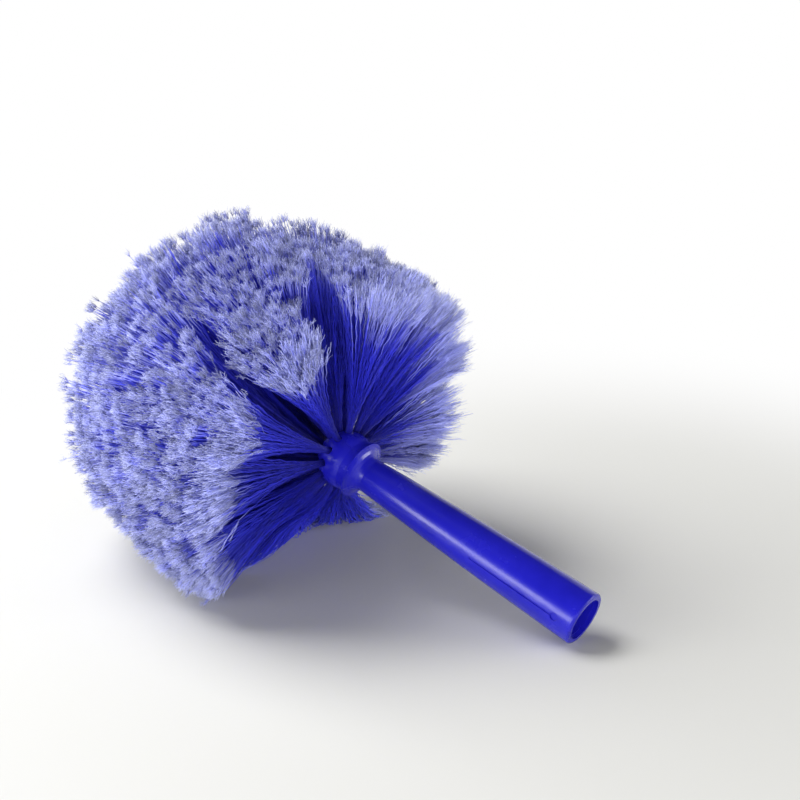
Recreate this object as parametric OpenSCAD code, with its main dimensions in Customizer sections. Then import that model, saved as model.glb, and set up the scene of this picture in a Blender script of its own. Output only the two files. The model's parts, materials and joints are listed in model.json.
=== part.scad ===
// Domed cobweb brush head, lying on a table as it is put down after use.
// Millimetres, +Z up. The origin is on the socket axis where the handle bore begins.
// The socket axis lies in the XZ plane: the mouth points to +X and down, the dome to -X and up.

/* [Socket] */
// Tilt of the socket axis when the head lies on a table, degrees
tilt = 19; // [16:1:24]
// Outside diameter of the socket at its mouth
mouth_d = 30; // [28:0.5:34]
// Outside diameter of the socket halfway along
middle_d = 26.2; // [25:0.2:28]
// Outside diameter of the neck below the collar
neck_d = 19.5; // [17:0.5:22]
// Distance from the mouth to the neck
neck_len = 144; // [120:1:170]
// Bore for the handle, for a 22 mm pole
handle_bore_d = 22.4; // [21:0.1:23]
// Depth of the handle bore up to its stop
handle_bore_len = 40; // [30:1:55]
// Depth of the wider lead-in at the mouth
lead_in_len = 2.6; // [1.5:0.1:5]
// How much wider the lead-in is than the bore, on the radius
lead_in_step = 0.6; // [0.3:0.1:0.9]
// Wall left round the tapering hollow above the handle stop
core_wall = 3; // [2.5:0.1:4]
// Rounding of the outer edge of the mouth
mouth_round = 1.4; // [0.6:0.1:1.6]

/* [Hub] */
// Diameter of the ball that holds the tufts
ball_d = 32.4; // [31:0.2:38]
// Diameter of the flared collar behind the ball
collar_d = 33; // [31:0.5:36]
// Distance from the neck to the collar edge
flare_len = 7; // [5:0.5:10]
// Distance from the collar edge to the centre of the ball
collar_to_ball = 11; // [9:0.5:12]
// Width of the flat edge of the collar
collar_edge = 0.8; // [0.5:0.1:2]

/* [Parting groove] */
// Width of the shallow groove along the side of the socket
groove_w = 1.2; // [0.6:0.1:2]
// Depth of the groove
groove_depth = 0.45; // [0.2:0.05:0.8]
// Distance from the mouth to the near end of the groove
groove_start = 11; // [9:0.5:20]
// Length of the groove
groove_len = 56; // [30:1:80]
// Angle of the groove round the socket, from the top
groove_angle = -85; // [-120:1:-60]
// Diameter of the pilot dimple for a fixing screw
dimple_d = 4.6; // [3:0.2:6]
// Depth of the pilot dimple
dimple_depth = 0.9; // [0.5:0.1:1.2]

/* [Tufts] */
// Diameter of each drilled tuft hole
hole_d = 3.8; // [3:0.1:4]
// Depth of each tuft hole below the ball surface
hole_depth = 5; // [4:0.1:5.4]
// Clearance round a tuft in its hole
tuft_fit = 0.1; // [0.05:0.01:0.2]
// Tufts in the inner row
inner_count = 6; // [4:1:6]
// Tufts in the middle row
middle_count = 10; // [7:1:11]
// Tufts in the outer row
outer_count = 12; // [8:1:13]
// Angle between neighbouring rows of holes
row_step = 24.3; // [23.5:0.1:25]

/* [Metal anchors] */
// Thickness of the metal anchor across each tuft
anchor_t = 0.5; // [0.3:0.05:0.7]
// Height of the anchor
anchor_h = 1.8; // [1.2:0.1:2.4]
// How far each end of the anchor bites past the hole wall
anchor_bite = 0.35; // [0.2:0.05:0.4]
// Height of the anchor above the bottom of the hole
anchor_lift = 0.7; // [0.5:0.1:1]
// Clearance round the anchor
anchor_fit = 0.05; // [0.02:0.01:0.1]

/* [Bristles] */
// Strands in each tuft
strands = 15; // [11:1:15]
// Radius of the trimmed dome
dome_r = 110; // [90:1:120]
// Distance from the ball centre forward to the centre of the dome
dome_forward = 69; // [45:1:75]
// Width of a strand at its root
strand_root_w = 0.42; // [0.3:0.02:0.44]
// Width of a strand at its tip
strand_tip_w = 4.2; // [2:0.1:4.4]
// Width at the tip of the strands that the table crowds together
low_tip_w = 2.2; // [1:0.1:2.8]
// Half angle over which the strands of an inner tuft spread
spread = 12.2; // [8:0.2:12.6]
// Half angle over which the strands of an outer tuft spread
outer_spread = 14; // [8:0.2:14.4]
// Extra backward lean of the outer row towards the collar
outer_lean = 6.5; // [0:0.5:8]
// Share of their height that low strands give up where the table pushes them
yield = 0.37; // [0.3:0.01:0.5]
// Height over which strands curve to lie along the table
lay_h = 5; // [3:0.5:10]

/* [Hidden] */
eps = 0.01;
// Facets round a full turn of the turned parts, and of the small holes
round_fn = 96;
hole_fn = 48;
// How far a cutter stands out past the surface that it cuts
overcut = 4;
// Distances along the socket are measured from the mouth towards the ball.
ball_at = neck_len + flare_len + collar_to_ball;
collar_at = neck_len + flare_len;
ball_r = ball_d / 2;
bore_end = lead_in_len + handle_bore_len;
round_r = mouth_round;
// Lowest point of the rounded mouth edge, measured down from the centre of the mouth
mouth_drop = (mouth_d / 2 - round_r) * cos(tilt) + round_r * (1 - sin(tilt));
// The table, measured from the origin and from the ball centre
table_z = -mouth_drop - lead_in_len * sin(tilt);
ball_x = -(ball_at - lead_in_len) * cos(tilt);
ball_z = (ball_at - lead_in_len) * sin(tilt);
ball_height = ball_z - table_z;

// Step of the profile where the collar gives way to the ball, inward and upward
ball_step = 0.9;
ball_step_h = 0.6;
// Solid length left between the tapering hollow and the neck, and the length of the hollow's tip
core_top_gap = 12;
core_tip_len = 4;
// Shoulder that stops the handle at the end of its bore
handle_stop = 0.6;

hole_r = hole_d / 2;
hole_bottom = ball_r - hole_depth;
plug_r = hole_r - tuft_fit;
// The plug ends a little below the ball surface, and its strands start this far below its top.
plug_recess = 0.2;
root_sink = 0.8;
root_edge = 0.1;
plug_top = ball_r - plug_recess;
plug_bottom = hole_bottom + tuft_fit;
anchor_w = hole_d + 2 * anchor_bite;
anchor_z = hole_bottom + anchor_lift;
// Strands start inside the plug, within this circle.
root_circle = plug_r - strand_root_w / sqrt(3) - root_edge;
root_at = plug_top - root_sink;
// Shares of a strand's length at which it bends
bends = [0, 0.3, 0.66, 1];
golden = 180 * (3 - sqrt(5));
// Below this angle under the horizontal a strand is pushed up by the table.
yield_from = 20;
// A strand holds its direction for this far outside the ball before it yields.
stiff_len = 45;
// Share of its length by which the shortest strand falls short of the dome
trim_share = 0.045;
// Tufts whose holes face down more than this count as crowded, as the cosine of their turn.
crowded_from = 0.3;
// The block that cuts strands flat at the table
floor_size = 4 * dome_r;
floor_t = dome_r / 5;

row_names = ["tuft_inner_", "tuft_middle_", "tuft_outer_"];
row_counts = [inner_count, middle_count, outer_count];
row_turns = [2, 9, 3];
// Turn of the strand pattern from one tuft to the next, which keeps strands clear of each other
spin = 40;

// Angle of hole i of a row round the axis, from the top
function hole_turn(row, i) = 360 * (i - 1) / row_counts[row] + row_turns[row];
function row_angle(row) = row_step * (row + 1);

// Outside radius of the socket: a gentle curve through mouth, middle and neck
function socket_r(s) =
    let (m = neck_len / 2, u = s / m - 1)
    middle_d / 2 + (neck_d - mouth_d) / 4 * u + ((neck_d + mouth_d) / 4 - middle_d / 2) * u * u;

function unit(v) = v / norm(v);
function mix(a, b, share) = a + (b - a) * share;
function soft(x) = let (k = max(0, min(1, x))) k * k * (3 - 2 * k);

// Direction at angle from the dome's axis, turned round it from the top, in the lying frame
function aim(angle, turn) =
    let (up = sin(angle) * cos(turn), side = sin(angle) * sin(turn), ahead = cos(angle))
    [-ahead * cos(tilt) + up * sin(tilt), side, ahead * sin(tilt) + up * cos(tilt)];

// Distance from the ball centre to the trimmed dome, with a straight side behind its widest point
function dome_reach(angle) =
    angle < atan2(dome_r, dome_forward)
        ? dome_forward * cos(angle) + sqrt(pow(dome_r, 2) - pow(dome_forward * sin(angle), 2))
        : dome_r / sin(angle);

// Places a point of a strand, from the ball centre, where the table lets it lie.
// Its distance from the ball centre is kept, so a strand bends and doesn't shrink.
function rest(p) =
    let (
        far = norm(p),
        flat = max(norm([p.x, p.y]), eps),
        drop = asin(-p.z / far),
        yields = soft((far - ball_r) / stiff_len) * yield * max(0, drop - yield_from),
        height = ball_height - far * sin(drop - yields),
        lies = lay_h * ln(1 + exp(height / lay_h)),
        z = lies - ball_height,
        out = sqrt(max(0, far * far - z * z))
    )
    [p.x / flat * out, p.y / flat * out, z];

// Unevenness of the trim, so that the strands of a tuft end at several heights
function trim(i, j) = 1 - trim_share * abs(sin(137 * i + 71 * j));

// Centre line of strand j of a tuft. hole and tip are angles from the axis.
function strand_line(i, j, hole, tip, turn, half_angle) =
    let (
        share = sqrt((j + 0.5) / strands),
        a = share * cos(golden * j + spin * i),
        b = share * sin(golden * j + spin * i),
        hole_dir = aim(hole, turn),
        hole_back = aim(hole + 90, turn),
        side = aim(90, turn + 90),
        tip_dir = unit(aim(tip, turn) + tan(half_angle) * (a * aim(tip + 90, turn) + b * side)),
        root = root_at * hole_dir + root_circle * (a * hole_back + b * side),
        off_axis = acos(tip_dir * aim(0, 0)),
        end = trim(i, j) * dome_reach(off_axis) * tip_dir
    )
    [for (share = bends) rest(mix(root, end, share))];

// One triangular strand along its centre line, thickening from root to tip
module strand(line, across, tip_w) {
    last = len(line) - 1;
    ahead = [for (k = [0:last]) unit(line[min(k + 1, last)] - line[max(k - 1, 0)])];
    side = [for (d = ahead) unit(cross(d, across))];
    rise = [for (k = [0:last]) cross(ahead[k], side[k])];
    reach = [for (k = [0:last]) mix(strand_root_w, tip_w, bends[k]) / sqrt(3)];
    corners = [
        for (k = [0:last]) for (turn = [90, 210, 330])
            line[k] + reach[k] * (cos(turn) * side[k] + sin(turn) * rise[k])
    ];
    sides = [
        for (k = [0:last - 1]) for (c = [0:2])
            let (d = (c + 1) % 3, low = 3 * k, high = 3 * k + 3)
            each [[low + c, high + d, low + d], [low + c, high + c, high + d]]
    ];
    ends = [[0, 1, 2], [3 * last + 2, 3 * last + 1, 3 * last]];
    polyhedron(points = corners, faces = concat(sides, ends), convexity = 4);
}

// Moves a child from the dome's own frame, with +Z ahead and +X up, to the lying brush
module lie() {
    rotate([0, tilt - 90, 0]) children();
}

module at_ball() {
    translate([ball_x, 0, ball_z]) children();
}

// Turns a child to the axis of a hole in the ball
module at_hole(angle, turn) {
    lie() rotate([0, 0, turn]) rotate([0, angle, 0]) children();
}

// Calls its child at every hole: the crown, then row by row
module at_each_hole() {
    at_hole(0, 0) children();
    for (row = [0:2]) for (i = [1:row_counts[row]])
        at_hole(row_angle(row), hole_turn(row, i)) children();
}

// Upright plate across a hole, from its lowest edge up. grow widens it on every side.
module anchor_plate(grow) {
    translate([-anchor_t / 2 - grow, -anchor_w / 2 - grow, anchor_z - grow])
        cube([anchor_t + 2 * grow, anchor_w + 2 * grow, anchor_h + 2 * grow]);
}

// Half outline of the moulding, mouth at the bottom, closed along the axis
module head_outline() {
    steps = 8;
    rim = [
        for (turn = [-90:15:0])
            [mouth_d / 2 - round_r + round_r * cos(turn), round_r + round_r * sin(turn)]
    ];
    taper = [for (k = [1:steps]) let (s = neck_len * k / steps) [socket_r(s), s]];
    flare = [
        for (turn = [15:15:90])
            [
                collar_d / 2 - (collar_d - neck_d) / 2 * cos(turn),
                neck_len + flare_len * sin(turn)
            ]
    ];
    inner_r = ball_r - ball_step;
    edge_top = collar_at + collar_edge;
    edge = [[collar_d / 2, edge_top], [inner_r, edge_top + ball_step_h]];
    polygon(concat([[0, 0]], rim, taper, flare, edge, [[inner_r, ball_at], [0, ball_at]]));
}

// Tapering hollow above the handle stop, as deep as the wall allows
module core_outline() {
    steps = 4;
    top = neck_len - core_top_gap;
    wall = [
        for (k = [0:steps])
            let (s = mix(bore_end, top, k / steps))
            [socket_r(s) - core_wall - (k == 0 ? handle_stop : 0), s]
    ];
    polygon(concat([[0, bore_end - 1], [wall[0].x, bore_end - 1]], wall, [[0, top + core_tip_len]]));
}

module tuft_holes() {
    at_each_hole() {
        translate([0, 0, hole_bottom]) cylinder(r = hole_r, h = hole_depth + overcut, $fn = hole_fn);
        anchor_plate(anchor_fit);
    }
}

// Shallow groove that runs along the side of the socket, and the pilot dimple at its end
module side_groove() {
    far_s = groove_start + groove_len;
    slope = atan2(socket_r(groove_start) - socket_r(far_s), groove_len);
    rotate([0, 0, groove_angle]) {
        translate([socket_r(groove_start) - groove_depth, -groove_w / 2, groove_start])
            rotate([0, -slope, 0]) cube([overcut, groove_w, groove_len]);
        translate([socket_r(groove_start) - dimple_depth, 0, groove_start])
            rotate([0, 90, 0]) cylinder(d = dimple_d, h = overcut, $fn = hole_fn);
    }
}

module brush_head() {
    color([0.12, 0.1, 0.62])
    difference() {
        union() {
            lie() translate([0, 0, -lead_in_len]) rotate_extrude($fn = round_fn) head_outline();
            at_ball() sphere(r = ball_r, $fn = round_fn);
        }
        lie() translate([0, 0, -lead_in_len]) {
            translate([0, 0, lead_in_len])
                cylinder(d = handle_bore_d, h = handle_bore_len, $fn = round_fn);
            translate([0, 0, -1])
                cylinder(r = handle_bore_d / 2 + lead_in_step, h = lead_in_len + 1, $fn = round_fn);
            rotate_extrude($fn = round_fn) core_outline();
            side_groove();
        }
        at_ball() tuft_holes();
    }
}

module tuft_anchors() {
    color("silver") at_ball() at_each_hole() anchor_plate(0);
}

// Folded root of a tuft: a round plug in its hole, with a window where the anchor crosses the fold
module plug() {
    difference() {
        translate([0, 0, plug_bottom]) cylinder(r = plug_r, h = plug_top - plug_bottom, $fn = hole_fn);
        anchor_plate(anchor_fit);
    }
}

// One tuft: its plug and its strands, cut flat where they lie on the table
module tuft(i, hole, tip, turn, half_angle) {
    across = aim(tip + 90, turn);
    tip_w = cos(turn) < crowded_from ? low_tip_w : strand_tip_w;
    color([0.42, 0.42, 0.86])
    difference() {
        at_ball() {
            at_hole(hole, turn) plug();
            for (j = [0:strands - 1])
                strand(strand_line(i, j, hole, tip, turn, half_angle), across, tip_w);
        }
        if (cos(turn) < 0)
            translate([ball_x - floor_size / 2, -floor_size / 2, table_z - floor_t])
                cube([floor_size, floor_size, floor_t]);
    }
}

module row_tuft(row, i) {
    lean = row == 2 ? outer_lean : 0;
    half_angle = row == 2 ? outer_spread : spread;
    tuft(i + 13 * row, row_angle(row), row_angle(row) + lean, hole_turn(row, i), half_angle);
}

brush_head();
tuft_anchors();
tuft(0, 0, 0, 0, spread);  // tuft_crown
for (i = [1:inner_count]) row_tuft(0, i);
for (i = [1:middle_count]) row_tuft(1, i);
for (i = [1:outer_count]) row_tuft(2, i);
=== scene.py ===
"""Domed cobweb brush head, dressed for the picture: a glossy moulded socket and ball, and tufts of crimped
blue filaments whose split pale tips form the dome. Lengths are in metres and angles in degrees, unless a
comment says otherwise, in the frame of the CAD model."""

import json
import math
from typing import NamedTuple

import bpy
import numpy as np
from mathutils import Matrix, Vector


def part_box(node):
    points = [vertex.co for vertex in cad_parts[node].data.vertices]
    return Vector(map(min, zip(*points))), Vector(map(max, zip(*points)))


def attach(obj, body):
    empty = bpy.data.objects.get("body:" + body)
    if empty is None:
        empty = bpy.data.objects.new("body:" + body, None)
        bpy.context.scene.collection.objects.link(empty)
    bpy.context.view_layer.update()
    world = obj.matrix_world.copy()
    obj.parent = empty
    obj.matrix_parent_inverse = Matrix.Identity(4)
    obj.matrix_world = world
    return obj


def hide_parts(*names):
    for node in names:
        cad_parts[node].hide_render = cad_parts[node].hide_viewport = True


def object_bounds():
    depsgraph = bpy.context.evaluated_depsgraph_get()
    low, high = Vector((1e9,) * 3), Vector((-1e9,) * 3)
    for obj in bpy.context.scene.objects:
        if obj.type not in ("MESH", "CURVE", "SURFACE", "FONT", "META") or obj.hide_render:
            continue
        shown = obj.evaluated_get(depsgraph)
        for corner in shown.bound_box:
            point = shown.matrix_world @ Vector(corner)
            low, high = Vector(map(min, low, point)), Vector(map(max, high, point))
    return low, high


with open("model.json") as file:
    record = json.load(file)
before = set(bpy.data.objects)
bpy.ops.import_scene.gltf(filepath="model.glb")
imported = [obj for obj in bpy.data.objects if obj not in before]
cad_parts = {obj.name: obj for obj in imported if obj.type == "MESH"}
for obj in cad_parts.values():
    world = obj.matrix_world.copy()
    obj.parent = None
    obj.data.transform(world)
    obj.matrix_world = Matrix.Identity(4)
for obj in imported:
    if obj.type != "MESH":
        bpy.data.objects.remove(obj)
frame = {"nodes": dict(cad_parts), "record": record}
cad_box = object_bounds()

MM = 0.001

# The brush as it lies: its tilt, the ball's centre and the table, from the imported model
BALL_R = 16.2 * MM
socket_axis = np.array(frame["record"]["mounts"][0]["axis"])
TILT = math.degrees(math.asin(-socket_axis[2]))
TABLE_Z = cad_box[0][2]
head_low, head_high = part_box("brush_head")
BALL = np.array([head_low[0] + BALL_R, 0.0, head_high[2] - BALL_R])
BALL_HEIGHT = BALL[2] - TABLE_Z

# Tufts, as the moulding is drilled. Each row of holes is a step further from the dome's axis, and starts at
# its own turn from the top.
ROW_ORDER = ("inner", "middle", "outer")
ROW_STEP = 24.3
ROW_TURNS = {"inner": 2.0, "middle": 9.0, "outer": 3.0}
# How far the outer row leans towards the collar
OUTER_LEAN = 6.5
# Half the angle over which a tuft's filaments spread
SPREAD = {"crown": 15.2, "inner": 15.2, "middle": 15.2, "outer": 15.8}
# Filaments start in this share of the plug's radius, this deep in the hole.
PLUG_R = 1.75 * MM
ROOTS_FILL = 0.93
ROOT_DEPTH = 2.5 * MM


class Wear(NamedTuple):
    """How use has moved a tuft: its turn round the axis, the share of its sideways spread, its lean towards
    the collar, the share of its length, and how frayed it is on its collar side."""

    turn: float = 0.0
    spread: float = 1.0
    lean: float = 0.0
    reach: float = 1.0
    # Fray also scales the painted light on the frayed ends.
    fray: float = 1.0


WORN = {
    "tuft_outer_1": Wear(turn=4.5, spread=1.05, reach=1.04, fray=0.9),
    "tuft_outer_2": Wear(turn=1.0, reach=1.03, fray=0.95),
    "tuft_outer_3": Wear(turn=-1.0, reach=0.95, fray=1.25),
    "tuft_outer_4": Wear(reach=0.96, fray=1.6),
    "tuft_outer_5": Wear(turn=-17.0, spread=0.84, reach=0.98, fray=1.6),
    "tuft_outer_6": Wear(turn=4.0, spread=0.95, lean=3.0, fray=0.35),
    "tuft_outer_7": Wear(lean=4.0, fray=0.35),
    "tuft_outer_8": Wear(spread=0.93, lean=-3.5, reach=1.05, fray=0.4),
    "tuft_outer_9": Wear(lean=-1.5, reach=1.04, fray=0.45),
    "tuft_outer_10": Wear(turn=-4.0, spread=0.86, lean=-6.0, reach=1.02, fray=0.75),
    "tuft_outer_11": Wear(turn=-11.0, spread=0.8, lean=-7.0, reach=1.02, fray=0.75),
    "tuft_outer_12": Wear(turn=-12.0, spread=0.74, lean=-2.0, reach=1.02, fray=0.85),
    "tuft_middle_1": Wear(spread=1.12, lean=6.0, reach=0.97),
    "tuft_middle_5": Wear(turn=-12.0, spread=1.45, lean=9.0),
    "tuft_middle_6": Wear(turn=-7.0, spread=1.25, lean=3.0),
    "tuft_middle_7": Wear(reach=1.025),
    "tuft_middle_8": Wear(reach=0.97),
    "tuft_middle_10": Wear(turn=5.0, spread=1.1, lean=5.0, reach=0.97),
    "tuft_inner_5": Wear(turn=2.0, spread=1.05),
    "tuft_inner_6": Wear(turn=4.0, spread=1.1, reach=1.01),
}

# The trimmed dome
DOME_R = 110 * MM
DOME_FORWARD = 69 * MM
# Share of its drop that a bristle gives up where the table pushes it, past the drop where this starts
YIELD = 0.37
YIELD_FROM = 20.0
# A bristle holds its direction for this far outside the ball before it yields.
STIFF_LEN = 45 * MM
# Height over which bristles curve to lie along the table
LAY_H = 3.5 * MM
NEAR_ZERO = 1e-5

# Filaments gather into wisps, and wisps into clumps. Their places are in the tuft's unit disc, and their ends
# are shares of the way to the dome.
FILAMENTS = 560
FILAMENT_SCATTER = 0.025
FILAMENT_END = (0.99, 1.0)
WISPS = 105
WISP_SCATTER = 0.055
WISP_END = (0.955, 1.02)
WISP_PULL = 0.78
CLUMPS = 12
CLUMP_SCATTER = 0.07
CLUMP_END = (0.915, 0.98)
# Loose filaments stay out of the wisps and keep this share of their distance from the tuft's middle.
LOOSE_SHARE = 0.12
LOOSE_OUT = (0.95, 1.12)
# The turns to draw from, in radians, a little over a full one
ANY_TURN = (0, 6.3)
GOLDEN = math.pi * (3 - math.sqrt(5))
SEED = 1000

# Shafts, in steps along their length. They part as this power of the way along.
STEPS = 16
FLARE = 1.55
BOW = 1.1 * MM
CRIMP = 0.48 * MM
CRIMP_OF_SHAFT = (0.5, 1.3)
CRIMP_OF_STEP = (0.6, 1.2)
# The crimp is full after one part in this many of the length.
CRIMP_GROWTH = 6
ROOT_R = 0.13 * MM
SHAFT_R = 0.24 * MM
# A shaft is at its full radius after one part in this many of its length.
SHAFT_GROWTH = 2.2
SHAFT_SIZE = (0.85, 1.15)
SHAFT_TIP = 0.5
# Keeps a shaft from lying exactly along the direction that its sides are worked out from
NUDGE = 0.01
# Strays bow more, and curl by this many millimetres and radians.
STRAY_SHARE = 0.02
STRAY_REACH = (0.98, 1.03)
STRAY_BOW = 7.0
CURL_MM = (1.2, 3.0)
CURL_WAVES = (9, 20)

# Share of a shaft's length where it turns pale: on the collar side of the outer tufts, and elsewhere
PALE_FROM_EDGE = (0.52, 0.8)
PALE_FROM = (0.85, 0.95)
PALE_SCATTER = 0.02
# How pale a shaft's end gets, and the power with which it does
SHAFT_PALE = 0.85
PALE_CURVE = 0.6
# The collar side starts this far across the tuft's unit disc, and painted light lifts its frayed ends this
# much.
EDGE_FROM = 0.15
FRAY_PAINTED_LIGHT = 0.26
# A filament's shade is partly its wisp's and partly its own.
SHADE_OF_WISP = 0.55
SHADE_OF_SHAFT = 0.45

# Hairs, into which each shaft splits. They start this far before its end and fan out past it.
TIP_HAIRS = 7
HAIR_STEPS = 3
HAIR_BACK = 3.4 * MM
HAIR_LEN = 5.0 * MM
HAIR_SHORTEST = 0.75
HAIR_LONGEST = 1.05
HAIR_R = 0.13 * MM
HAIR_TAPER = 0.45
HAIR_SPREAD = 2.8 * MM
HAIR_FAN = (0.25, 1.0)
FAN_CURVE = 0.9
HAIR_FRIZZ = 0.45 * MM
HAIR_OFF_TABLE = 0.3 * MM
# Where a hair's colour starts along the shaft's colours, how pale it starts, and how its shade scatters
HAIR_ALONG = 0.9
HAIR_PALE = 0.7
HAIR_SHADE_SCATTER = 0.25
# Hairs point as these last steps of the shaft do.
AHEAD_STEPS = 3
# On the collar side of the outer tufts hairs are longer, and start this many steps before the shaft's end.
EDGE_HAIR_STEPS = 3
EDGE_HAIR_LEN = 20 * MM
EDGE_HAIR_SHORTEST = 0.4
EDGE_HAIR_SPREAD = 3.2 * MM

# Shafts and hairs are three-sided tubes.
TUBE_CORNERS = (90, 210, 330)
SIDES = len(TUBE_CORNERS)

# Colours. A shaft's run from its root to its tip, darker towards the root as painted shade deep in the tuft.
SHAFT_COLOURS_AND_PAINTED_SHADE = [
    (0.0, (0.011, 0.011, 0.2)),
    (0.3, (0.017, 0.019, 0.43)),
    (0.65, (0.04, 0.045, 0.66)),
    (1.0, (0.1, 0.115, 0.84)),
]
PALE_COLOUR = (0.425, 0.455, 0.74, 1)
PLASTIC_COLOURS = [(0.3, (0.007, 0.007, 0.31)), (0.7, (0.011, 0.01, 0.39))]
STEEL_COLOURS = [(0.3, (0.42, 0.42, 0.43)), (0.7, (0.62, 0.62, 0.63))]
FLOOR_COLOUR = (0.71, 0.708, 0.68, 1)
WHITE = (1, 1, 1, 1)
# Sockets of a Mix node that carry colours
MIX_A, MIX_B, MIX_RESULT = 6, 7, 2

# The floor turns to plain white away from the shadow.
FLOOR_HALF = 6.0
FLOOR_GAP = 0.2 * MM
SHADOW_CENTRE = (-0.05, 0.02, 0)
SHADOW_R = 0.16
WHITE_R = 0.5
# The white backdrop fades out between these heights, as sines of the elevation, into the dim ceiling.
BACKDROP_FADE = (0.3, 0.55)
# The strength of that ceiling, and of the world as a light
DIM = 0.08

# The camera: its direction, its lens and sensor in millimetres, its distance, and how far the ball is left of
# the picture's middle and below it
AZIMUTH = 35.8
ELEVATION = 19.5
LENS = 77.8
SENSOR = 36
CAMERA_AWAY = 0.953
BALL_LEFT = 0.0295
BALL_LOW = 0.033


class Lamp(NamedTuple):
    """A soft lamp: its direction from the brush, its distance, its width and height, its watts, and whether
    gloss shows it."""

    azimuth: float
    elevation: float
    away: float
    width: float
    height: float
    power: float
    in_gloss: bool


# The two broad lamps light the form, but leave no streaks of their own on the gloss.
LAMPS = {
    "key": Lamp(-77, 52, 1.6, 1.3, 1.3, 37, in_gloss=False),
    "front": Lamp(34, 6, 1.8, 1.4, 0.36, 29, in_gloss=False),
    "low": Lamp(-28, 8, 1.5, 1.2, 0.42, 13, in_gloss=True),
    "back": Lamp(125, 8, 1.6, 1.1, 0.44, 12, in_gloss=True),
}
LAMPS_AIM_AT = (-0.12, 0, 0.02)


class Tuft(NamedTuple):
    """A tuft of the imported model: its node, its row, how far its hole and its tips are from the dome's axis,
    and its turn round that axis from the top."""

    name: str
    row: str
    hole: float
    tip: float
    turn: float


class Filaments(NamedTuple):
    """A tuft's filaments: centre lines from the ball's centre, two directions across each, whether it is on
    the frayed side, where it turns pale, its shade, and how much painted light lifts its frayed end."""

    lines: np.ndarray
    right: np.ndarray
    rise: np.ndarray
    edge: np.ndarray
    pale_from: np.ndarray
    shade: np.ndarray
    painted_light: np.ndarray


class Part(NamedTuple):
    """Tubes of one kind: their mesh, and for each ring of each tube its place along the shaft's colours, its
    shade with any painted light on a frayed end, and how pale it is."""

    verts: np.ndarray
    faces: np.ndarray
    along: np.ndarray
    tone: np.ndarray
    pale: np.ndarray


def aim(angle, turn):
    """Direction at angle from the dome's axis, turned round it from the top."""
    tilt, a, t = math.radians(TILT), math.radians(angle), math.radians(turn)
    up, side, ahead = math.sin(a) * math.cos(t), math.sin(a) * math.sin(t), math.cos(a)
    x = -ahead * math.cos(tilt) + up * math.sin(tilt)
    z = ahead * math.sin(tilt) + up * math.cos(tilt)
    return np.array([x, side, z])


def unit(v):
    return v / np.linalg.norm(v, axis=-1, keepdims=True)


def soft(x):
    """Rises smoothly from 0 to 1 as x does."""
    k = np.clip(x, 0, 1)
    return k * k * (3 - 2 * k)


def dome_reach(angle):
    """Distance from the ball's centre to the trimmed dome, straight-sided behind its widest point. The angle
    from the dome's axis is in radians."""
    widest = math.atan2(DOME_R, DOME_FORWARD)
    across = DOME_FORWARD * np.sin(angle)
    front = DOME_FORWARD * np.cos(angle) + np.sqrt(DOME_R**2 - across**2)
    side = DOME_R / np.sin(np.maximum(angle, widest))
    return np.where(angle < widest, front, side)


def rest(p):
    """Moves points, given from the ball's centre, to where the table lets the bristles lie. The distance
    from the ball is kept, so a bristle bends and doesn't shrink."""
    far = np.linalg.norm(p, axis=-1)
    flat = np.maximum(np.hypot(p[..., 0], p[..., 1]), NEAR_ZERO)
    drop = np.degrees(np.arcsin(np.clip(-p[..., 2] / far, -1, 1)))
    yields = soft((far - BALL_R) / STIFF_LEN) * YIELD * np.maximum(0, drop - YIELD_FROM)
    height = BALL_HEIGHT - far * np.sin(np.radians(drop - yields))
    z = LAY_H * np.logaddexp(0, height / LAY_H) - BALL_HEIGHT
    out = np.sqrt(np.maximum(0, far**2 - z**2))
    return np.stack([p[..., 0] / flat * out, p[..., 1] / flat * out, z], -1)


def tufts():
    """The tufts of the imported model, row by row."""
    found = [Tuft("tuft_crown", "crown", 0.0, 0.0, 0.0)]
    for number, row in enumerate(ROW_ORDER, 1):
        names = sorted(n for n in frame["nodes"] if n.startswith(f"tuft_{row}_"))
        for name in names:
            turn = 360 * (int(name.rsplit("_", 1)[1]) - 1) / len(names) + ROW_TURNS[row]
            hole = ROW_STEP * number
            found.append(Tuft(name, row, hole, hole + OUTER_LEAN * (row == "outer"), turn))
    return found


def disc(count, turn):
    """Evenly spread points in the unit disc."""
    k = np.arange(count)
    reach, angle = np.sqrt((k + 0.5) / count), GOLDEN * k + turn
    return np.stack([reach * np.cos(angle), reach * np.sin(angle)], -1)


def nearest(points, targets):
    """For each point, the number of the target nearest to it."""
    return np.argmin(np.linalg.norm(points[:, None] - targets[None], axis=2), axis=1)


def gather(rng, count):
    """Where each filament starts and ends across its tuft, its wisp, and how far each wisp reaches."""
    clump_at = disc(CLUMPS, rng.uniform(*ANY_TURN)) + rng.normal(0, CLUMP_SCATTER, (CLUMPS, 2))
    clump_end = rng.uniform(*CLUMP_END, CLUMPS)
    wisp_at = disc(WISPS, rng.uniform(*ANY_TURN)) + rng.normal(0, WISP_SCATTER, (WISPS, 2))
    wisp_end = clump_end[nearest(wisp_at, clump_at)] * rng.uniform(*WISP_END, WISPS)
    start = disc(count, rng.uniform(*ANY_TURN))
    wisp = nearest(start, wisp_at)
    scatter = rng.normal(0, FILAMENT_SCATTER, start.shape)
    end = start * (1 - WISP_PULL) + wisp_at[wisp] * WISP_PULL + scatter
    loose = rng.random(count) < LOOSE_SHARE
    end[loose] = start[loose] * rng.uniform(*LOOSE_OUT, (loose.sum(), 1))
    return start, end, wisp, wisp_end


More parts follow.
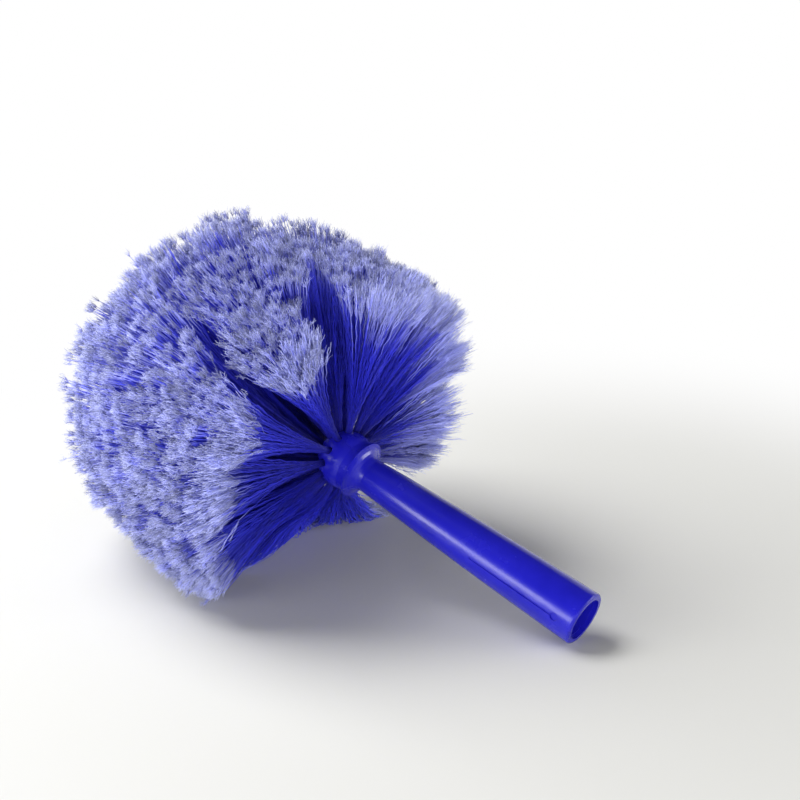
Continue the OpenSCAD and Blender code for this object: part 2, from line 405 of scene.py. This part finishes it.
def waver(rng, strays, s):
    """How far each shaft strays from its path, to its right and its rise: a slow bow that grows towards the
    tip, the crimp, which swings from step to step, and for strays a curl."""
    count = len(strays)
    bow = rng.normal(0, BOW, (count, 2)) * np.where(strays, STRAY_BOW, 1.0)[:, None]
    swing = np.where(np.arange(len(s)) % 2, 1.0, -1.0) * np.minimum(1, s * CRIMP_GROWTH)
    lean = rng.uniform(0, 2 * math.pi, count)
    crimp = CRIMP * rng.uniform(*CRIMP_OF_SHAFT, (count, 1)) * swing
    crimp = crimp * rng.uniform(*CRIMP_OF_STEP, (count, len(s)))
    curl = np.where(strays, rng.uniform(*CURL_MM, count) * MM, 0)[:, None]
    curl = curl * s * np.sin(rng.uniform(*CURL_WAVES, (count, 1)) * s + rng.uniform(*ANY_TURN, (count, 1)))
    across = curl + bow[:, :1] * s**2 + crimp * np.cos(lean)[:, None]
    over = bow[:, 1:] * s**2 + crimp * np.sin(lean)[:, None]
    return across, over


def make_filaments(rng, tuft, count):
    """Lays out a tuft's filaments from their hole to the dome, as if there were no table."""
    wear = WORN.get(tuft.name, Wear())
    tip, turn = tuft.tip + wear.lean, tuft.turn + wear.turn
    tip_dir, tip_back = aim(tip, turn), aim(tip + 90, turn)
    hole_dir, hole_back = aim(tuft.hole, tuft.turn), aim(tuft.hole + 90, tuft.turn)
    side = aim(90, tuft.turn + 90)
    half = math.tan(math.radians(SPREAD[tuft.row]))

    spot, at, wisp, wisp_end = gather(rng, count)
    end_dir = unit(tip_dir + half * (at[:, :1] * tip_back + wear.spread * at[:, 1:] * side))
    across_hole = spot[:, :1] * hole_back + spot[:, 1:] * side
    root = (BALL_R - ROOT_DEPTH) * hole_dir + PLUG_R * ROOTS_FILL * across_hole
    off_axis = np.arccos(np.clip(end_dir @ aim(0, 0), -1, 1))
    length = wear.reach * dome_reach(off_axis) * wisp_end[wisp] * rng.uniform(*FILAMENT_END, count)
    strays = rng.random(count) < STRAY_SHARE
    length[strays] *= rng.uniform(*STRAY_REACH, strays.sum())
    end = end_dir * length[:, None]

    # A tuft leaves its hole as a narrow bundle and flares towards its ends.
    s = np.linspace(0, 1, STEPS + 1)
    middle = tip_dir * length[:, None]
    lines = root[:, None] + (middle - root)[:, None] * s[None, :, None]
    lines = lines + (end - middle)[:, None] * (s**FLARE)[None, :, None]
    ahead = unit(end - root)
    right = unit(np.cross(ahead, tip_back + NUDGE))
    rise = np.cross(ahead, right)
    across, over = waver(rng, strays, s)
    lines = lines + across[..., None] * right[:, None] + over[..., None] * rise[:, None]

    edge = (spot[:, 0] > EDGE_FROM) & (tuft.row == "outer") & (rng.random(count) < wear.fray)
    pale_at = rng.uniform(0, 1, WISPS)[wisp]
    soonest = np.where(edge, PALE_FROM_EDGE[0], PALE_FROM[0])
    latest = np.where(edge, PALE_FROM_EDGE[1], PALE_FROM[1])
    pale_from = soonest + (latest - soonest) * pale_at + rng.normal(0, PALE_SCATTER, count)
    pale_from = 1 - (1 - pale_from) * np.where(edge, wear.fray, 1)
    shade = SHADE_OF_WISP * rng.random(WISPS)[wisp] + SHADE_OF_SHAFT * rng.random(count)
    # Painted light on the frayed ends, as much as the tuft is frayed.
    return Filaments(lines, right, rise, edge, pale_from, shade, FRAY_PAINTED_LIGHT * wear.fray * edge)


def tubes(lines, right, rise, radius):
    """Vertices and triangles of three-sided tubes round centre lines, closed at both ends."""
    count, rings = lines.shape[:2]
    turn = np.radians(TUBE_CORNERS)
    spoke = np.cos(turn)[None, :, None] * right[:, None] + np.sin(turn)[None, :, None] * rise[:, None]
    verts = lines[:, :, None] + radius[..., None, None] * spoke[:, None]
    ring = np.arange(rings - 1)[:, None] * SIDES
    c, d = np.arange(SIDES), (np.arange(SIDES) + 1) % SIDES
    one = np.stack([ring + c, ring + d, ring + SIDES + d], -1).reshape(-1, 3)
    two = np.stack([ring + c, ring + SIDES + d, ring + SIDES + c], -1).reshape(-1, 3)
    last = SIDES * (rings - 1)
    faces = np.concatenate([one, two, [[2, 1, 0]], [[last, last + 1, last + 2]]])
    faces = faces[None] + (np.arange(count) * rings * SIDES)[:, None, None]
    return verts.reshape(-1, 3), faces.reshape(-1, 3)


def shafts(rng, made, widen):
    """The shafts of a tuft, thin at the root and paler at the frayed end."""
    count = len(made.lines)
    s = np.linspace(0, 1, STEPS + 1)
    radius = (ROOT_R + (SHAFT_R - ROOT_R) * np.minimum(1, s * SHAFT_GROWTH)) * widen
    radius = np.repeat(radius[None], count, 0) * rng.uniform(*SHAFT_SIZE, (count, 1))
    radius[:, -1] *= SHAFT_TIP
    frayed = np.clip((s[None] - made.pale_from[:, None]) / (1 - made.pale_from[:, None]), 0, 1)
    return Part(
        *tubes(made.lines, made.right, made.rise, radius),
        along=np.tile(s, (count, 1)),
        # Painted light lifts the tone of the frayed ends.
        tone=made.shade[:, None] + made.painted_light[:, None] * frayed,
        pale=SHAFT_PALE * frayed**PALE_CURVE,
    )


def hairs(rng, made, widen):
    """The fine hairs that the shafts split into, one for every shaft at a time."""
    count, edge = len(made.lines), made.edge
    ahead = unit(made.lines[:, -1] - made.lines[:, -1 - AHEAD_STEPS])
    near_end = made.lines[:, -1] - HAIR_BACK * ahead
    start = np.where(edge[:, None], made.lines[:, -1 - EDGE_HAIR_STEPS], near_end)
    spread = np.where(edge, EDGE_HAIR_SPREAD, HAIR_SPREAD)
    longest = np.where(edge, EDGE_HAIR_LEN, HAIR_LEN)
    shortest = np.where(edge, EDGE_HAIR_SHORTEST, HAIR_SHORTEST)
    h = np.linspace(0, 1, HAIR_STEPS + 1)
    radius = np.repeat((HAIR_R * widen * (1 - HAIR_TAPER * h))[None], count, 0)
    for _ in range(TIP_HAIRS):
        angle = rng.uniform(0, 2 * math.pi, count)
        fan = spread * rng.uniform(*HAIR_FAN, count)
        out = np.cos(angle)[:, None] * made.right + np.sin(angle)[:, None] * made.rise
        length = longest * rng.uniform(shortest, HAIR_LONGEST)
        lines = start[:, None] + ahead[:, None] * (length[:, None] * h)[..., None]
        lines = lines + out[:, None] * (fan[:, None] * h**FAN_CURVE)[..., None]
        lines = lines + rng.normal(0, HAIR_FRIZZ, lines.shape) * (h > 0)[None, :, None]
        lines[..., 2] = np.maximum(lines[..., 2], HAIR_OFF_TABLE - BALL_HEIGHT)
        # A hair takes the painted light of its shaft's frayed end into its tone.
        shade = made.shade + made.painted_light + rng.normal(0, HAIR_SHADE_SCATTER, count)
        yield Part(
            *tubes(lines, made.right, made.rise, radius),
            along=np.tile(HAIR_ALONG + (1 - HAIR_ALONG) * h, (count, 1)),
            tone=np.repeat(np.clip(shade, 0, 1)[:, None], len(h), axis=1),
            pale=np.tile(HAIR_PALE + (1 - HAIR_PALE) * h, (count, 1)),
        )


def join(name, parts):
    """One mesh of all the parts, round the ball's centre, with what the material reads on its vertices."""
    verts = np.concatenate([part.verts for part in parts]) + BALL
    first = np.cumsum([0] + [len(part.verts) for part in parts[:-1]])
    faces = np.concatenate([part.faces + n for part, n in zip(parts, first)])

    mesh = bpy.data.meshes.new(name)
    mesh.vertices.add(len(verts))
    mesh.vertices.foreach_set("co", verts.astype(np.float32).ravel())
    mesh.loops.add(faces.size)
    mesh.loops.foreach_set("vertex_index", faces.astype(np.int32).ravel())
    mesh.polygons.add(len(faces))
    mesh.polygons.foreach_set("loop_start", np.arange(0, faces.size, 3, dtype=np.int32))
    mesh.polygons.foreach_set("use_smooth", np.ones(len(faces), dtype=bool))
    mesh.update(calc_edges=True)
    for label in ("along", "tone", "pale"):
        values = np.concatenate([getattr(part, label).ravel() for part in parts])
        layer = mesh.attributes.new(label, "FLOAT", "POINT")
        layer.data.foreach_set("value", np.repeat(values, SIDES).astype(np.float32))
    return mesh


def tuft_mesh(rng, tuft):
    """One tuft as a mesh of shafts and hairs, resting on the table."""
    widen = 1.0
    made = make_filaments(rng, tuft, FILAMENTS)
    made = made._replace(lines=rest(made.lines))
    return join(tuft.name, [shafts(rng, made, widen), *hairs(rng, made, widen)])


def new_material(name):
    material = bpy.data.materials.new(name)
    material.use_nodes = True
    tree = material.node_tree
    return material, tree, tree.nodes["Principled BSDF"]


def node(tree, kind, **inputs):
    """A new shader node, with these values on its sockets."""
    made = tree.nodes.new(kind)
    for key, value in inputs.items():
        made.inputs[key].default_value = value
    return made


def maths(tree, operation, first, second):
    """The result of a Math node on two outputs."""
    made = tree.nodes.new("ShaderNodeMath")
    made.operation = operation
    tree.links.new(first, made.inputs[0])
    tree.links.new(second, made.inputs[1])
    return made.outputs["Value"]


def ramp(tree, stops):
    """A colour ramp with these places and colours."""
    made = tree.nodes.new("ShaderNodeValToRGB")
    ends = made.color_ramp.elements
    while len(ends) < len(stops):
        ends.new(0.5)
    for end, (at, colour) in zip(ends, stops):
        end.position = at
        end.color = (*colour, 1)
    return made


def bristle_material():
    """Filament: deep blue shaft, darker towards the root as painted shade, paler and greyer where it splits,
    with each filament a little its own, and painted light on the frayed ends.
    """
    material, tree, shader = new_material("bristle_blue")
    link = tree.links.new
    along, tone, pale = (tree.nodes.new("ShaderNodeAttribute") for _ in range(3))
    along.attribute_name, tone.attribute_name, pale.attribute_name = "along", "tone", "pale"
    # The shaft's colours darken towards the root as painted shade deep in the tuft.
    shaft = ramp(tree, SHAFT_COLOURS_AND_PAINTED_SHADE)
    link(along.outputs["Fac"], shaft.inputs["Fac"])
    frayed = tree.nodes.new("ShaderNodeMix")
    frayed.data_type = "RGBA"
    frayed.inputs[MIX_B].default_value = PALE_COLOUR
    link(pale.outputs["Fac"], frayed.inputs["Factor"])
    link(shaft.outputs["Color"], frayed.inputs[MIX_A])
    # The tone, random for each wisp and filament plus painted light on frayed ends, scales the colour.
    lift = node(tree, "ShaderNodeMapRange", **{"To Min": 0.45, "To Max": 1.5})
    link(tone.outputs["Fac"], lift.inputs["Value"])
    tinted = tree.nodes.new("ShaderNodeVectorMath")
    tinted.operation = "SCALE"
    link(frayed.outputs[MIX_RESULT], tinted.inputs[0])
    link(lift.outputs["Result"], tinted.inputs["Scale"])
    link(tinted.outputs["Vector"], shader.inputs["Base Color"])
    rough = node(tree, "ShaderNodeMapRange", **{"To Min": 0.32, "To Max": 0.7})
    link(along.outputs["Fac"], rough.inputs["Value"])
    link(rough.outputs["Result"], shader.inputs["Roughness"])
    shader.inputs["Specular IOR Level"].default_value = 0.15
    return material


def plastic_material():
    """Glossy moulded plastic: deep ultramarine, with the faint ripple and haze of a cheap mould."""
    material, tree, shader = new_material("socket_plastic")
    link = tree.links.new
    place = tree.nodes.new("ShaderNodeTexCoord")
    haze = node(tree, "ShaderNodeTexNoise", Scale=38.0, Detail=4.0, Roughness=0.6)
    link(place.outputs["Object"], haze.inputs["Vector"])
    colour = ramp(tree, PLASTIC_COLOURS)
    link(haze.outputs["Fac"], colour.inputs["Fac"])
    link(colour.outputs["Color"], shader.inputs["Base Color"])
    ends = {"From Min": 0.3, "From Max": 0.7, "To Min": 0.2, "To Max": 0.3}
    rough = node(tree, "ShaderNodeMapRange", **ends)
    link(haze.outputs["Fac"], rough.inputs["Value"])
    link(rough.outputs["Result"], shader.inputs["Roughness"])
    ripple = node(tree, "ShaderNodeTexNoise", Scale=150.0, Detail=3.0, Roughness=0.55)
    link(place.outputs["Object"], ripple.inputs["Vector"])
    bump = node(tree, "ShaderNodeBump", Strength=0.12, Distance=0.8 * MM)
    link(ripple.outputs["Fac"], bump.inputs["Height"])
    link(bump.outputs["Normal"], shader.inputs["Normal"])
    shader.inputs["Specular IOR Level"].default_value = 0.36
    shader.inputs["Coat Weight"].default_value = 0.16
    shader.inputs["Coat Roughness"].default_value = 0.18
    return material


def metal_material():
    """Bare steel of the anchors, with a fine drawn grain."""
    material, tree, shader = new_material("anchor_steel")
    link = tree.links.new
    place = tree.nodes.new("ShaderNodeTexCoord")
    grain = node(tree, "ShaderNodeTexNoise", Scale=900.0, Detail=2.0)
    link(place.outputs["Object"], grain.inputs["Vector"])
    colour = ramp(tree, STEEL_COLOURS)
    link(grain.outputs["Fac"], colour.inputs["Fac"])
    link(colour.outputs["Color"], shader.inputs["Base Color"])
    shader.inputs["Metallic"].default_value = 1.0
    shader.inputs["Roughness"].default_value = 0.35
    return material


def dress_head():
    """Gives the moulding and its anchors, which keep their solids, their materials."""
    for name, material in (("brush_head", plastic_material()), ("tuft_anchors", metal_material())):
        for slot in frame["nodes"][name].material_slots:
            slot.material = material


def dress_tufts():
    """Stands a piece of filaments in for each tuft's solid."""
    material = bristle_material()
    for number, tuft in enumerate(tufts()):
        name = tuft.name
        mesh = tuft_mesh(np.random.default_rng(SEED + number), tuft)
        mesh.materials.append(material)
        piece = bpy.data.objects.new(f"filaments_{name.removeprefix('tuft_')}", mesh)
        bpy.context.scene.collection.objects.link(piece)
        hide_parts(name)
        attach(piece, "root")


def view_axes(azimuth, elevation):
    """Right, up and back for something that looks at the brush from this direction."""
    az, el = math.radians(azimuth), math.radians(elevation)
    right = Vector((math.cos(az), math.sin(az), 0))
    back = Vector((math.sin(az) * math.cos(el), -math.cos(az) * math.cos(el), math.sin(el)))
    return right, back.cross(right), back


def place_camera():
    right, up, back = view_axes(AZIMUTH, ELEVATION)
    data = bpy.data.cameras.new("camera")
    data.lens = LENS
    data.sensor_width = SENSOR
    camera = bpy.data.objects.new("camera", data)
    bpy.context.scene.collection.objects.link(camera)
    spot = Vector(BALL) + BALL_LEFT * right + BALL_LOW * up + CAMERA_AWAY * back
    turn = Matrix((right, up, back)).transposed().to_4x4()
    camera.matrix_world = Matrix.Translation(spot) @ turn
    bpy.context.scene.camera = camera


def hang_lamps():
    for name, lamp in LAMPS.items():
        _, _, back = view_axes(lamp.azimuth, lamp.elevation)
        data = bpy.data.lights.new(name, "AREA")
        data.energy = lamp.power
        data.shape = "RECTANGLE"
        data.size, data.size_y = lamp.width, lamp.height
        hung = bpy.data.objects.new(name, data)
        bpy.context.scene.collection.objects.link(hung)
        hung.location = Vector(LAMPS_AIM_AT) + back * lamp.away
        hung.rotation_euler = back.to_track_quat("Z", "Y").to_euler()
        hung.visible_glossy = lamp.in_gloss


def shows_background(tree):
    """1 for the rays that show the white background: from the camera, off gloss and through glass."""
    path = tree.nodes.new("ShaderNodeLightPath")
    gloss = maths(tree, "MAXIMUM", path.outputs["Is Camera Ray"], path.outputs["Is Glossy Ray"])
    return maths(tree, "MAXIMUM", gloss, path.outputs["Is Transmission Ray"])


def make_world():
    """A white backdrop, as high as any view shows it, under a dim ceiling."""
    world = bpy.data.worlds.new("world")
    world.use_nodes = True
    tree = world.node_tree
    link = tree.links.new
    direction = tree.nodes.new("ShaderNodeTexCoord")
    split = tree.nodes.new("ShaderNodeSeparateXYZ")
    link(direction.outputs["Generated"], split.inputs["Vector"])
    low, high = BACKDROP_FADE
    backdrop = node(tree, "ShaderNodeMapRange", **{"From Min": high, "From Max": low})
    link(split.outputs["Z"], backdrop.inputs["Value"])
    level = node(tree, "ShaderNodeMapRange", **{"To Min": DIM, "To Max": 1.0})
    link(maths(tree, "MULTIPLY", backdrop.outputs["Result"], shows_background(tree)), level.inputs["Value"])
    sky = tree.nodes["Background"]
    sky.inputs["Color"].default_value = WHITE
    link(level.outputs["Result"], sky.inputs["Strength"])
    bpy.context.scene.world = world


def floor_material():
    """Plain pale table, which turns to white away from the shadow for the rays that show the background."""
    material, tree, shader = new_material("floor")
    link = tree.links.new
    shader.inputs["Base Color"].default_value = FLOOR_COLOUR
    shader.inputs["Roughness"].default_value = 0.9
    shader.inputs["Specular IOR Level"].default_value = 0.1
    place = tree.nodes.new("ShaderNodeTexCoord")
    away = tree.nodes.new("ShaderNodeVectorMath")
    away.operation = "DISTANCE"
    away.inputs[1].default_value = SHADOW_CENTRE
    link(place.outputs["Object"], away.inputs[0])
    fade = node(tree, "ShaderNodeMapRange", **{"From Min": SHADOW_R, "From Max": WHITE_R})
    fade.interpolation_type = "SMOOTHERSTEP"
    link(away.outputs["Value"], fade.inputs["Value"])
    white = node(tree, "ShaderNodeEmission", Color=WHITE, Strength=1.0)
    mix = tree.nodes.new("ShaderNodeMixShader")
    link(maths(tree, "MULTIPLY", shows_background(tree), fade.outputs["Result"]), mix.inputs["Fac"])
    link(shader.outputs["BSDF"], mix.inputs[1])
    link(white.outputs["Emission"], mix.inputs[2])
    link(mix.outputs["Shader"], tree.nodes["Material Output"].inputs["Surface"])
    return material


def lay_floor():
    corners = [(x * FLOOR_HALF, y * FLOOR_HALF, 0) for x, y in ((-1, -1), (1, -1), (1, 1), (-1, 1))]
    mesh = bpy.data.meshes.new("floor")
    mesh.from_pydata(corners, [], [(0, 1, 2, 3)])
    mesh.materials.append(floor_material())
    floor = bpy.data.objects.new("floor", mesh)
    floor.location.z = TABLE_Z - FLOOR_GAP
    bpy.context.scene.collection.objects.link(floor)


place_camera()
dress_head()
dress_tufts()
lay_floor()
hang_lamps()
make_world()
bpy.context.scene.view_settings.view_transform = "Standard"
